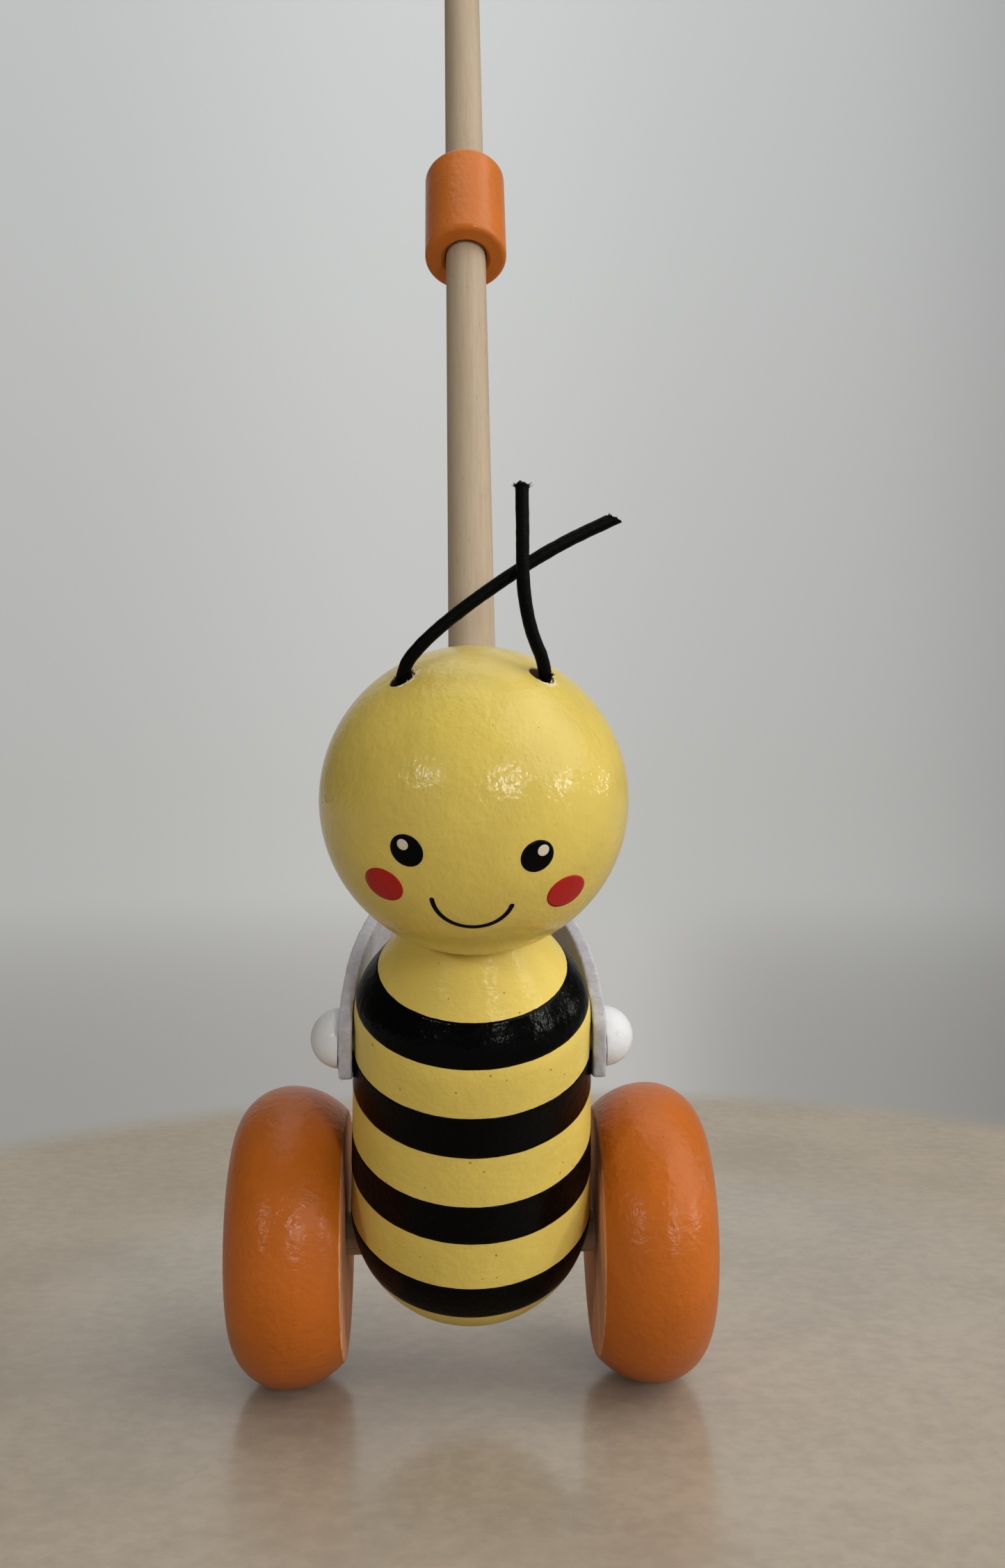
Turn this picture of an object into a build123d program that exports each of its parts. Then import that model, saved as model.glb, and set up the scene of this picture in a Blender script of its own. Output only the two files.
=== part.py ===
from build123d import *
from math import acos, asin, atan2, cos, degrees, radians, sin, sqrt, tan
import os

# A wooden bee on two wheels that a toddler pushes along by a long stick.
# Units are millimetres. +Z is up, the bee looks along -Y and its stick leans back towards +Y.
# The origin is on the floor, under the middle of the whole toy.
# Left and right are as seen from in front of the bee, so the left side is at -X.

# Angles in degrees: the body leans forward and the stick leans back, both from the vertical
body_lean = 29.0
stick_lean = 30.5

# Fits: a glued dowel in its bore, the turning axle in the body, and soft or loose pieces
glue_clearance = 0.05
axle_clearance = 0.10
loose_clearance = 0.30
felt_clearance = 0.15
touch_clearance = 0.02
cut_overrun = 5.0

# Wheels, turned from solid wood, with a quarter round shoulder outside and a flatter crown inside
wheel_dia = 69.0
wheel_thickness = 26.4
wheel_gap = 1.1
wheel_shoulder = 12.9
wheel_crown = 18.0
wheel_inner_edge = 1.2
wheel_outer_dish = 1.2
wheel_hub_dia = 22.0

# Axle dowel
axle_dia = 10.0
axle_recess = 0.6
axle_end_chamfer = 0.8

# Body: a round belly, slowly tapering sides, a rounded shoulder and a short conical collar
belly_dia = 56.2
belly_height = 10.1
shoulder_dia = 51.0
shoulder_height = 70.5
shoulder_round = 16.0
collar_dia = 25.0
collar_height = 88.9
collar_round = 1.8

# Head: a turned ball with a small flat underneath, and the dowel that joins it to the body
head_dia = 62.0
neck_flat_dia = 20.0
neck_dowel_dia = 8.0
neck_dowel_in_head = 14.0
neck_dowel_in_body = 16.0

# Antennae: elastic cords in two bores that run along the body's axis and sit a little to the left
cord_dia = 2.6
antenna_bore_dia = 5.0
antenna_bore_depth = 5.0
antenna_spacing = 26.6
antenna_forward = 1.3
antenna_offset = -0.6

# Stick: two dowels that meet inside a sleeve, and a ball grip on the upper end
stick_dia = 10.0
stick_in_head = 26.0
lower_stick_length = 168.0
upper_stick_length = 290.0
stick_end_chamfer = 0.6
sleeve_dia = 20.6
sleeve_length = 30.0
sleeve_rim_round = 1.2
sleeve_mouth_chamfer = 1.0
grip_dia = 36.0
grip_flat_dia = 16.0
grip_bore_depth = 20.0

# Wings: felt leaves with a square root, each held by a dome headed wooden peg
felt_thickness = 3.0
wing_length = 72.0
wing_width = 28.0
wing_root_width = 12.6
wing_root_reach = 7.0
wing_rise = 20.0
wing_bend_radius = 130.0
wing_bend_turn = 40.0
wing_corner_round = 2.0
wing_widest_share = 0.42
wing_belly_share = 0.91
peg_height = 58.2
peg_head_dia = 13.2
peg_head_height = 6.2
peg_shaft_dia = 6.0
peg_shaft_in_body = 12.0

# Antenna routes: points after the mouth of the bore, as steps from the mouth's centre,
# and how far to the right of its bore's axis each cord stands
antenna_routes = {
    "left": [
        (3.6, -3.1, 6.2),
        (10.2, -3.9, 11.8),
        (18.1, -3.9, 17.5),
        (26.0, -2.7, 22.8),
        (33.5, -1.4, 27.1),
        (40.8, -0.5, 30.5),
    ],
    "right": [
        (-2.3, -3.9, 7.8),
        (-3.9, -6.3, 16.2),
        (-3.9, -7.2, 25.6),
        (-4.0, -7.0, 35.4),
    ],
}
antenna_shifts = {"left": -0.4, "right": 1.0}
antenna_straight_out = 1.5
corner_run_share = 0.45

# Radii and places that follow from the sizes above
wheel_radius = wheel_dia / 2
axle_radius = axle_dia / 2
belly_radius = belly_dia / 2
shoulder_radius = shoulder_dia / 2
collar_radius = collar_dia / 2
head_radius = head_dia / 2
neck_flat_radius = neck_flat_dia / 2
neck_flat_drop = sqrt(head_radius**2 - neck_flat_radius**2)
stick_radius = stick_dia / 2
sleeve_radius = sleeve_dia / 2
grip_radius = grip_dia / 2
grip_flat_drop = sqrt(grip_radius**2 - (grip_flat_dia / 2) ** 2)
sides = {"left": -1, "right": 1}

up_body = Vector(0, -sin(radians(body_lean)), cos(radians(body_lean)))
up_stick = Vector(0, sin(radians(stick_lean)), cos(radians(stick_lean)))

# Distances along the body's axis from the axle, and along the stick from the head's centre
head_height = collar_height + neck_flat_drop
stick_foot = head_radius - stick_in_head
stick_joint = stick_foot + lower_stick_length
sleeve_foot = stick_joint - sleeve_length / 2
upper_stick_end = stick_joint + upper_stick_length
grip_foot = upper_stick_end - grip_bore_depth
grip_centre = grip_foot + grip_flat_drop

# The toy's reach in front of and behind the axle puts the origin under its middle
head_forward = head_height * sin(radians(body_lean))
front_reach = max(head_forward + head_radius, wheel_radius)
back_reach = grip_centre * sin(radians(stick_lean)) + grip_radius - head_forward
axle_centre = Vector(0, (front_reach - back_reach) / 2, wheel_radius)

body_plane = Plane(origin=axle_centre, x_dir=(1, 0, 0), z_dir=up_body)
head_plane = body_plane.offset(head_height)
stick_plane = Plane(origin=head_plane.origin, x_dir=(1, 0, 0), z_dir=up_stick)


def side_view(plane):
    """The upright sketch plane whose y runs along the given plane's axis."""
    return Plane(origin=plane.origin, x_dir=plane.x_dir, z_dir=-plane.y_dir)


def axis_of(plane):
    return Axis(plane.origin, plane.z_dir)


# The straight side of the body leaves the belly's circle as a tangent to the shoulder's corner
side_rise = shoulder_height - belly_height
side_angle = atan2(side_rise, shoulder_radius) - acos(
    belly_radius / sqrt(shoulder_radius**2 + side_rise**2)
)
side_foot = (belly_radius * cos(side_angle), belly_height + belly_radius * sin(side_angle))


def body_radius_at(height):
    """The body's radius on its straight side, at a height along its axis."""
    share = (height - side_foot[1]) / (shoulder_height - side_foot[1])
    return side_foot[0] + share * (shoulder_radius - side_foot[0])


# Wheels
wheel_inner_face = belly_radius + wheel_gap
wheel_outer_face = wheel_inner_face + wheel_thickness
wheel_apex = wheel_outer_face - wheel_shoulder
crown_turn = degrees(asin((wheel_apex - wheel_inner_face) / wheel_crown))

os.makedirs("parts", exist_ok=True)
for name, side in sides.items():
    wheel_plane = Plane(origin=axle_centre, x_dir=(side, 0, 0), z_dir=(0, -side, 0))
    with BuildPart() as wheel:
        with BuildSketch(wheel_plane) as wheel_section:
            with BuildLine():
                shoulder = CenterArc(
                    (wheel_apex, wheel_radius - wheel_shoulder), wheel_shoulder, 0, 90
                )
                crown = CenterArc(
                    (wheel_apex, wheel_radius - wheel_crown), wheel_crown, 90, crown_turn
                )
                Polyline(
                    crown @ 1,
                    (wheel_inner_face, axle_radius + glue_clearance),
                    (wheel_outer_face - wheel_outer_dish, axle_radius + glue_clearance),
                    (wheel_outer_face - wheel_outer_dish, wheel_hub_dia / 2 - wheel_outer_dish),
                    (wheel_outer_face, wheel_hub_dia / 2),
                    shoulder @ 0,
                )
            make_face()
            inner_corner = wheel_section.vertices().group_by(Axis.X)[0].sort_by(Axis.Y)[-1]
            fillet(inner_corner, radius=wheel_inner_edge)
        revolve(axis=Axis(axle_centre, (1, 0, 0)))
    wheel.part.label = f"wheel_{name}"
    export_step(wheel.part, f"parts/wheel_{name}.step")

# Axle: a plain dowel, glued into both wheels and turning in the body
axle_half = wheel_outer_face - wheel_outer_dish - axle_recess
with BuildPart() as axle:
    with BuildSketch(Plane(origin=axle_centre, x_dir=(0, 1, 0), z_dir=(1, 0, 0))):
        Circle(axle_radius)
    extrude(amount=axle_half, both=True)
    chamfer(axle.edges().filter_by(GeomType.CIRCLE), length=axle_end_chamfer)
axle.part.label = "axle"
export_step(axle.part, "parts/axle.step")

# Pegs and felt stand square to the body's sloping flank
flank_ups = up_body * sin(side_angle)
flank_outs = {name: Vector(side * cos(side_angle), 0, 0) + flank_ups for name, side in sides.items()}
flank_points = {
    name: axle_centre + up_body * peg_height + Vector(side * body_radius_at(peg_height), 0, 0)
    for name, side in sides.items()
}

# Body, with its axle bore, two peg bores and the neck dowel's bore
with BuildPart() as body:
    with BuildSketch(side_view(body_plane)):
        with BuildLine():
            belly = CenterArc((0, belly_height), belly_radius, -90, 90 + degrees(side_angle))
            flank = FilletPolyline(
                belly @ 1,
                (shoulder_radius, shoulder_height),
                (collar_radius, collar_height),
                (0, collar_height),
                radius=[shoulder_round, collar_round],
            )
            Line(flank @ 1, belly @ 0)
        make_face()
    revolve(axis=axis_of(body_plane))
    with BuildSketch(Plane(origin=axle_centre, x_dir=(0, 1, 0), z_dir=(1, 0, 0))):
        Circle(axle_radius + axle_clearance)
    extrude(amount=belly_dia, both=True, mode=Mode.SUBTRACT)
    for name, out in flank_outs.items():
        peg_floor = flank_points[name] - out * (peg_shaft_in_body + loose_clearance)
        with BuildSketch(Plane(origin=peg_floor, x_dir=body_plane.y_dir, z_dir=out)):
            Circle(peg_shaft_dia / 2 + glue_clearance)
        extrude(amount=peg_shaft_in_body + cut_overrun, mode=Mode.SUBTRACT)
    with BuildSketch(body_plane.offset(collar_height - neck_dowel_in_body - loose_clearance)):
        Circle(neck_dowel_dia / 2 + glue_clearance)
    extrude(amount=neck_dowel_in_body + cut_overrun, mode=Mode.SUBTRACT)
body.part.label = "body"
export_step(body.part, "parts/body.step")

# Head, with the neck dowel's bore below, the stick's bore behind and two antenna bores on top
antenna_centres = {}
for name, side in sides.items():
    across = side * antenna_spacing / 2 + antenna_offset
    mouth_height = sqrt(head_radius**2 - across**2 - antenna_forward**2)
    mouth = Vector(across, -antenna_forward, mouth_height)
    antenna_centres[name] = head_plane.from_local_coords(mouth)
with BuildPart() as head:
    with BuildSketch(side_view(head_plane)):
        with BuildLine():
            flat_angle = degrees(asin(neck_flat_drop / head_radius))
            ball = CenterArc((0, 0), head_radius, -flat_angle, 90 + flat_angle)
            Polyline(ball @ 1, (0, -neck_flat_drop), ball @ 0)
        make_face()
    revolve(axis=axis_of(head_plane))
    with BuildSketch(head_plane.offset(-neck_flat_drop)):
        Circle(neck_dowel_dia / 2 + glue_clearance)
    extrude(amount=neck_dowel_in_head + loose_clearance, mode=Mode.SUBTRACT)
    with BuildSketch(stick_plane.offset(stick_foot)):
        Circle(stick_radius + glue_clearance)
    extrude(amount=head_dia, mode=Mode.SUBTRACT)
    for mouth in antenna_centres.values():
        bore_floor = mouth - up_body * antenna_bore_depth
        with BuildSketch(Plane(origin=bore_floor, x_dir=(1, 0, 0), z_dir=up_body)):
            Circle(antenna_bore_dia / 2)
        extrude(amount=antenna_bore_depth + cut_overrun, mode=Mode.SUBTRACT)
head.part.label = "head"
export_step(head.part, "parts/head.step")

# Neck dowel, hidden in the head and the body
with BuildPart() as neck_dowel:
    with BuildSketch(body_plane.offset(collar_height - neck_dowel_in_body)):
        Circle(neck_dowel_dia / 2)
    extrude(amount=neck_dowel_in_body + neck_dowel_in_head)
neck_dowel.part.label = "neck_dowel"
export_step(neck_dowel.part, "parts/neck_dowel.step")

# Lower stick, glued into the back of the head
with BuildPart() as stick_lower:
    with BuildSketch(stick_plane.offset(stick_foot)):
        Circle(stick_radius)
    extrude(amount=lower_stick_length)
    chamfer(stick_lower.edges().filter_by(GeomType.CIRCLE), length=stick_end_chamfer)
stick_lower.part.label = "stick_lower"
export_step(stick_lower.part, "parts/stick_lower.step")

# Upper stick, standing on the lower one inside the sleeve
with BuildPart() as stick_upper:
    with BuildSketch(stick_plane.offset(stick_joint)):
        Circle(stick_radius)
    extrude(amount=upper_stick_length)
    chamfer(stick_upper.edges().filter_by(GeomType.CIRCLE), length=stick_end_chamfer)
stick_upper.part.label = "stick_upper"
export_step(stick_upper.part, "parts/stick_upper.step")

# Sleeve: glued on the upper stick, loose over the lower one, with a flared mouth
lower_bore_radius = stick_radius + loose_clearance
upper_bore_radius = stick_radius + glue_clearance
with BuildPart() as stick_sleeve:
    with BuildSketch(side_view(stick_plane.offset(sleeve_foot))):
        with BuildLine():
            sleeve_wall = FilletPolyline(
                (lower_bore_radius + sleeve_mouth_chamfer, 0),
                (sleeve_radius, 0),
                (sleeve_radius, sleeve_length),
                (upper_bore_radius, sleeve_length),
                radius=[sleeve_rim_round, sleeve_rim_round],
            )
            Polyline(
                sleeve_wall @ 1,
                (upper_bore_radius, sleeve_length / 2),
                (lower_bore_radius, sleeve_length / 2),
                (lower_bore_radius, sleeve_mouth_chamfer),
                sleeve_wall @ 0,
            )
        make_face()
    revolve(axis=axis_of(stick_plane))
stick_sleeve.part.label = "stick_sleeve"
export_step(stick_sleeve.part, "parts/stick_sleeve.step")

# Ball grip on the upper end of the stick
with BuildPart() as grip_ball:
    with BuildSketch(side_view(stick_plane.offset(grip_centre))):
        with BuildLine():
            grip_angle = degrees(asin(grip_flat_drop / grip_radius))
            grip_arc = CenterArc((0, 0), grip_radius, -grip_angle, 90 + grip_angle)
            Polyline(grip_arc @ 1, (0, -grip_flat_drop), grip_arc @ 0)
        make_face()
    revolve(axis=axis_of(stick_plane))
    with BuildSketch(stick_plane.offset(grip_foot)):
        Circle(stick_radius + glue_clearance)
    extrude(amount=grip_bore_depth + loose_clearance, mode=Mode.SUBTRACT)
grip_ball.part.label = "grip_ball"
export_step(grip_ball.part, "parts/grip_ball.step")

# Wings: felt leaves that lie on the flanks under their pegs and curl in behind the body
wing_widest = (wing_length - wing_root_reach) * wing_widest_share
wing_belly = wing_width / 2 * wing_belly_share
wing_belly_place = (wing_widest - wing_root_reach) / 2
wing_rising = Vector(0, cos(radians(wing_rise)), sin(radians(wing_rise)))

for name, out in flank_outs.items():
    wing_foot = flank_points[name] + out * felt_clearance
    along_wing = (wing_rising - out * wing_rising.dot(out)).normalized()
    across_wing = out.cross(along_wing) * sides[name]
    curl = along_wing * cos(radians(wing_bend_turn)) + across_wing * sin(radians(wing_bend_turn))
    wing_plane = Plane(origin=wing_foot, x_dir=along_wing, z_dir=out)
    bend_plane = Plane(origin=wing_foot, x_dir=curl, z_dir=out.cross(curl))
    with BuildPart() as wing:
        with BuildSketch(wing_plane) as leaf:
            with BuildLine():
                root = Line(
                    (-wing_root_reach, -wing_root_width / 2),
                    (-wing_root_reach, wing_root_width / 2),
                )
                ThreePointArc(
                    root @ 1, (wing_belly_place, wing_belly), (wing_widest, wing_width / 2)
                )
                EllipticalCenterArc(
                    (wing_widest, 0),
                    wing_length - wing_root_reach - wing_widest,
                    wing_width / 2,
                    start_angle=-90,
                    arc_size=180,
                )
                ThreePointArc(
                    (wing_widest, -wing_width / 2), (wing_belly_place, -wing_belly), root @ 0
                )
            make_face()
            root_corners = leaf.vertices().sort_by(Axis((0, 0, 0), (1, 0, 0)))[:2]
            fillet(root_corners, radius=wing_corner_round)
        extrude(amount=wing_length, both=True)
        with BuildSketch(bend_plane):
            with Locations((0, wing_bend_radius)):
                Circle(wing_bend_radius + felt_thickness)
                Circle(wing_bend_radius, mode=Mode.SUBTRACT)
        extrude(amount=wing_length, both=True, mode=Mode.INTERSECT)
        with BuildSketch(wing_plane):
            Circle(peg_shaft_dia / 2 + loose_clearance)
        extrude(amount=felt_thickness + cut_overrun, both=True, mode=Mode.SUBTRACT)
    wing.part.label = f"wing_{name}"
    export_step(wing.part, f"parts/wing_{name}.step")

# Pegs: a domed head on the felt, and a shaft through the felt into the body
peg_shaft_radius = peg_shaft_dia / 2
peg_head_radius = peg_head_dia / 2
peg_dome_radius = (peg_head_radius**2 + peg_head_height**2) / (2 * peg_head_height)
peg_head_seat = felt_clearance + felt_thickness + touch_clearance
peg_shaft_length = peg_shaft_in_body + peg_head_seat
for name, out in flank_outs.items():
    peg_foot = flank_points[name] + out * peg_head_seat
    with BuildPart() as wing_peg:
        with BuildSketch(Plane(origin=peg_foot, x_dir=out, z_dir=out.cross(body_plane.z_dir))):
            with BuildLine():
                Polyline(
                    (0, peg_head_radius),
                    (0, peg_shaft_radius),
                    (-peg_shaft_length, peg_shaft_radius),
                    (-peg_shaft_length, 0),
                    (peg_head_height, 0),
                )
                RadiusArc((0, peg_head_radius), (peg_head_height, 0), peg_dome_radius)
            make_face()
        revolve(axis=Axis(peg_foot, out))
    wing_peg.part.label = f"wing_peg_{name}"
    export_step(wing_peg.part, f"parts/wing_peg_{name}.step")


def corner_radii(points):
    """An arc for each corner of a route, as large as its two runs allow."""
    radii = []
    for before, corner, after in zip(points, points[1:], points[2:]):
        arriving = corner - before
        leaving = after - corner
        half_turn = radians(arriving.get_angle(leaving)) / 2
        shorter_run = min(arriving.length, leaving.length)
        radii.append(corner_run_share * shorter_run / tan(half_turn))
    return radii


# Antennae: cords that stand on the floor of their bores and bend over above the mouths
for name, steps in antenna_routes.items():
    mouth = antenna_centres[name]
    root = mouth + Vector(antenna_shifts[name], 0, 0)
    route = [root - up_body * antenna_bore_depth, root + up_body * antenna_straight_out]
    route += [mouth + Vector(*step) for step in steps]
    radii = corner_radii(route)
    with BuildPart() as antenna:
        with BuildLine() as cord_path:
            FilletPolyline(*route, radius=radii)
        with BuildSketch(Plane(origin=route[0], x_dir=(1, 0, 0), z_dir=up_body)):
            Circle(cord_dia / 2)
        sweep()
    antenna.part.label = f"antenna_{name}"
    export_step(antenna.part, f"parts/antenna_{name}.step")
    cord_length = cord_path.wire().length
    section_volume = cord_length * Circle(cord_dia / 2, mode=Mode.PRIVATE).area
    print(f"antenna_{name}: length {cord_length:.1f}, radii", [round(r, 1) for r in radii])
    print(f"volume {antenna.part.volume:.1f}, section times length {section_volume:.1f}")
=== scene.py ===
import random
from collections import namedtuple
from math import cos, floor, pi, radians, sin, sqrt

import bmesh
import bpy
from mathutils import Euler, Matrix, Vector, noise
from mathutils.bvhtree import BVHTree


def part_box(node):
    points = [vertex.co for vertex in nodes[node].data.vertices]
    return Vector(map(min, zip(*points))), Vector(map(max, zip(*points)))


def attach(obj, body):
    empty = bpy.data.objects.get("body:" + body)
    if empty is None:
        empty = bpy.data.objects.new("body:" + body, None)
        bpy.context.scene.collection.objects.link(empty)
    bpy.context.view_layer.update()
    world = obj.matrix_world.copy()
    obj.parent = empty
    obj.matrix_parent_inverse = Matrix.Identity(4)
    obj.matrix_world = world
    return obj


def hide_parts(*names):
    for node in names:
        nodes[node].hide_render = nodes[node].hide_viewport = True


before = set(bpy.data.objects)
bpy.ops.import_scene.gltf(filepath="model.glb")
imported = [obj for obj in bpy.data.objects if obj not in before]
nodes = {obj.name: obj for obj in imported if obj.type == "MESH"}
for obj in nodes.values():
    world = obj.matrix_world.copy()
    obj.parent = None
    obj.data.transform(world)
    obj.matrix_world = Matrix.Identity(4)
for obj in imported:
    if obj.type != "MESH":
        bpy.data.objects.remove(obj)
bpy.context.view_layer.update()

# Units are metres and +Z is up. The bee looks along -Y, and left is the side at -X.
MM = 0.001
SIDES = {"left": -1, "right": 1}
RIGHT = Vector((1, 0, 0))
BACKWARDS = Vector((0, 1, 0))
UP = Vector((0, 0, 1))


def middle_of(node):
    """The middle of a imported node's box."""
    low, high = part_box(node)
    return (Vector(low) + Vector(high)) / 2


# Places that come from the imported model
axle_centre = middle_of("axle")
head_centre = middle_of("head")
head_radius = (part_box("head")[1][0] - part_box("head")[0][0]) / 2
wheel_inner_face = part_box("wheel_right")[0][0]
up_body = (head_centre - axle_centre).normalized()
front_body = RIGHT.cross(up_body)
up_stick = (middle_of("grip_ball") - head_centre).normalized()

# Camera: level, at the photograph's distance, turned a little to the right
PHOTO_HEIGHT = 2255
PHOTO_FOCAL_LENGTH = 2200
SENSOR_HEIGHT = 36
CAMERA_FROM_AXLE = Vector((-6.2, -364.8, 106.6)) * MM
CAMERA_TURN = radians(2.22)
CAMERA_ROLL = radians(0.2)

# Antennae: the same bores and route points as in the CAD source
BORE_RADIUS = 2.5 * MM
BORE_DEPTH = 5.0 * MM
BORE_SIDE = 13.3 * MM
BORE_FORWARD = 1.3 * MM
BORE_OFFSET = -0.6 * MM
STRAIGHT_OUT = 1.5 * MM
ANTENNA_STEPS = {
    "left": [
        (3.6, -3.1, 6.2), (10.2, -3.9, 11.8), (18.1, -3.9, 17.5),
        (26.0, -2.7, 22.8), (33.5, -1.4, 27.1), (40.8, -0.5, 30.5),
    ],
    "right": [(-2.3, -3.9, 7.8), (-3.9, -6.3, 16.2), (-3.9, -7.2, 25.6), (-4.0, -7.0, 35.4)],
}
ANTENNA_SHIFTS = {"left": -0.4 * MM, "right": 1.0 * MM}

# Braid of the antenna cords: strands that dip where they pass under each other, on uneven yarn
RING_STEP = 0.085 * MM
RING_SIDES = 48
BRAID_STRANDS = 8
BRAID_PITCH = 3.1 * MM
BRAID_CORE = 1.18 * MM
BRAID_RELIEF = 0.12 * MM
STRAND_DIP = 0.55
STRAND_ROUNDING = 0.6
STRAND_DIP_ROUNDING = 0.8
YARN_UNEVENNESS = 0.045
YARN_LUMPS = 700
YARN_LUMPS_ROUND = 1.2

# Cut ends of the cords: slanted, drawn in, crumpled and closed by a tufted cap
CUT_SLANT = {"left": 0.95, "right": 0.10}
CUT_SLANT_AXIS = {"left": Vector((-0.5, 0, 1)).normalized(), "right": RIGHT}
CUT_REACH = 2.0 * MM
CUT_BEND = 1.5
CUT_DRAWN_IN = 0.25
CUT_CRUMPLE = 0.12 * MM
CRUMPLE_LUMPS = 500
CRUMPLE_LUMPS_ROUND = 3
CAP_SHARES = (0.75, 0.5, 0.25)
CAP_BULGE = 0.45 * MM
CAP_TUFT = 0.45 * MM
CAP_LUMPS = 1900

# Torn paint and wood at the lower right of each bore's mouth
CHIP_SIDE = (front_body * 0.75 + RIGHT * 0.66).normalized()
CHIP_REACH = 0.95 * MM
CHIP_BEGINS = (0.9 * MM, 2.2 * MM)
BORE_ROUNDED = 0.03 * MM
# Depths below the head's surface over which pale torn wood turns into the bore's painted shade
CHIP_RIM_TO_PAINTED_SHADE = (head_radius - 0.45 * MM, head_radius - 0.10 * MM)
FLAKES = 8
FLAKE_SPREAD = radians(62)
FLAKE_OFF_BORE = (0.05 * MM, 0.35 * MM)
FLAKE_SUNK = 0.12 * MM
FLAKE_LIFT = (0.05, 0.35)
FLAKE_OVER_BORE = (-0.2, 0.6)
FLAKE_ASIDE = (0.6, 1.6)
FLAKE_LENGTH = (0.30 * MM, 0.75 * MM)
FLAKE_CURL = 0.25
FLAKE_THICKNESS = (0.12 * MM, 0.22 * MM)
FLAKE_FLATNESS = 0.4

# Loose yarn ends: how many, the longest one, their favoured side, and whether all stand there
Fray = namedtuple("Fray", "fibres longest favoured one_sided")
END_FRAYS = {
    "left": Fray(44, 0.80 * MM, Vector((0, 0, 0)), False),
    "right": Fray(90, 1.0 * MM, RIGHT, False),
}
ROOT_FRAYS = {
    "left": Fray(44, 0.9 * MM, CHIP_SIDE, True),
    "right": Fray(40, 0.8 * MM, CHIP_SIDE, True),
}
ROOT_FRAY_RISE = 0.5 * MM
FRAY_START_OUT = (0.85 * MM, 1.15 * MM)
FRAY_START_BACK = (0.2 * MM, 0.9 * MM)
FRAY_SORTING = (-0.9, 0.9)
FRAY_REACH = (0.4, 1.0)
FRAY_REACH_ANYWHERE = 0.55
FRAY_REACH_FAVOURED = 0.6
FRAY_LEAN_ALONG = (0.2, 1.2)
FRAY_LEAN_OUT = (0.3, 1.0)
FRAY_CURL_OUT = (-0.6, 0.9)
FRAY_CURL_ASIDE = (-0.8, 0.8)
FRAY_CURL = 0.6
FRAY_THICKNESS = (0.0385 * MM, 0.0935 * MM)
STUBS = 0.16
STUB_THICKNESS = (0.136 * MM, 0.204 * MM)
FIBRE_TAPER = 0.8

# Painted bands: heights in millimetres along the body's axis above the axle, top edge first
BAND_EDGES = [(78.0, 69.5), (57.6, 47.5), (34.3, 23.8), (11.0, 0.1)]
BAND_COLUMNS = 180
BAND_ROWS = 14
BAND_TILT = 0.15 * MM
BAND_WOBBLE = 0.07 * MM
BAND_WAVES = ((9, 1.0), (28, 0.6))
BAND_SEED_STEP = 3
PROFILE_ROWS = 40
PROFILE_MARGIN = 4
PROFILE_LOOKS = 48
PROFILE_FROM = radians(30)
PROFILE_SPAN = radians(120)
PAINT_LIFT = 0.05 * MM
GLINT_LIFT = 0.09 * MM
PAINT_DEPTH = 0.12 * MM
AXLE_BORE_RADIUS = 5.1 * MM
AXLE_BORE_HALF_LENGTH = 40 * MM
AXLE_BORE_SIDES = 64

# Printed face: circles and an arc, stamped straight on along the way the face looks, so that
# they lie longer on the ball's sides. Centre and diameter of each, in millimetres.
FACE_SPOTS = {
    "eye_left": ((-12.94, 5.04), 6.10),
    "eye_right": ((11.01, 4.28), 6.20),
    "cheek_left": ((-17.33, -3.77), 7.20),
    "cheek_right": ((16.84, -5.57), 7.40),
    "glint_left": ((-13.69, 6.07), 2.02),
    "glint_right": ((12.13, 5.24), 2.12),
}
SPOT_RINGS = 7
SPOT_COLUMNS = 64
MOUTH_CENTRE = (-0.79, -3.28)
MOUTH_RADIUS = 7.67
MOUTH_SPAN = (-171.5, -18.3)
MOUTH_WIDTH = 0.90
MOUTH_LANES = 6
MOUTH_STEPS = 60
MOUTH_CAP_STEPS = 10
MOUTH_TIP_SHARE = 0.06

# Felt: the size it was cut to, its mesh's grain, and its lumps by their number a metre and height
FELT_VOXEL = 0.42 * MM
FELT_SUNK = 0.04 * MM
FELT_LUMPS = (520, 0.10 * MM)
FELT_MATS = (1500, 0.09 * MM)
FELT_MATS_SHIFT = Vector((3, 1, 2))

# Loose wool on the felt: how many fibres a wing carries, how they stand, and their size
FUZZ_FIBRES = 1500
FUZZ_STAND = (0.3, 1.2)
FUZZ_LENGTH = (0.25 * MM, 0.95 * MM)
FUZZ_CURL = 0.45
FUZZ_THICKNESS = 0.014 * MM

# Colours, as linear values
# Head and body share one yellow paint: the head's is drawn darker, as painted shade, and the body's
# lighter, as painted light
HEAD_YELLOW_PAINTED_SHADE = (0.655, 0.500, 0.102)
BODY_YELLOW_PAINTED_LIGHT = (0.740, 0.566, 0.124)
WHEEL_ORANGE = (0.480, 0.118, 0.009)
SLEEVE_ORANGE = (0.520, 0.140, 0.014)
BLACK = (0.0004, 0.0004, 0.0004)
RED = (0.400, 0.008, 0.006)
WHITE = (0.700, 0.715, 0.745)
GLINT = (0.600, 0.540, 0.430)
CHIP_WOOD = (0.720, 0.620, 0.380)
# Inside the bores: wood drawn dark, as painted shade in the recess
BORE_WOOD_PAINTED_SHADE = (0.150, 0.100, 0.065)
BORE_DARK_PAINTED_SHADE = (0.070, 0.045, 0.030)
BEECH = (0.520, 0.405, 0.275)
BEECH_DARK = (0.300, 0.200, 0.120)
STICK_WOOD = (0.430, 0.345, 0.244)
STICK_DARK = (0.3715, 0.27975, 0.1882)
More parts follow.
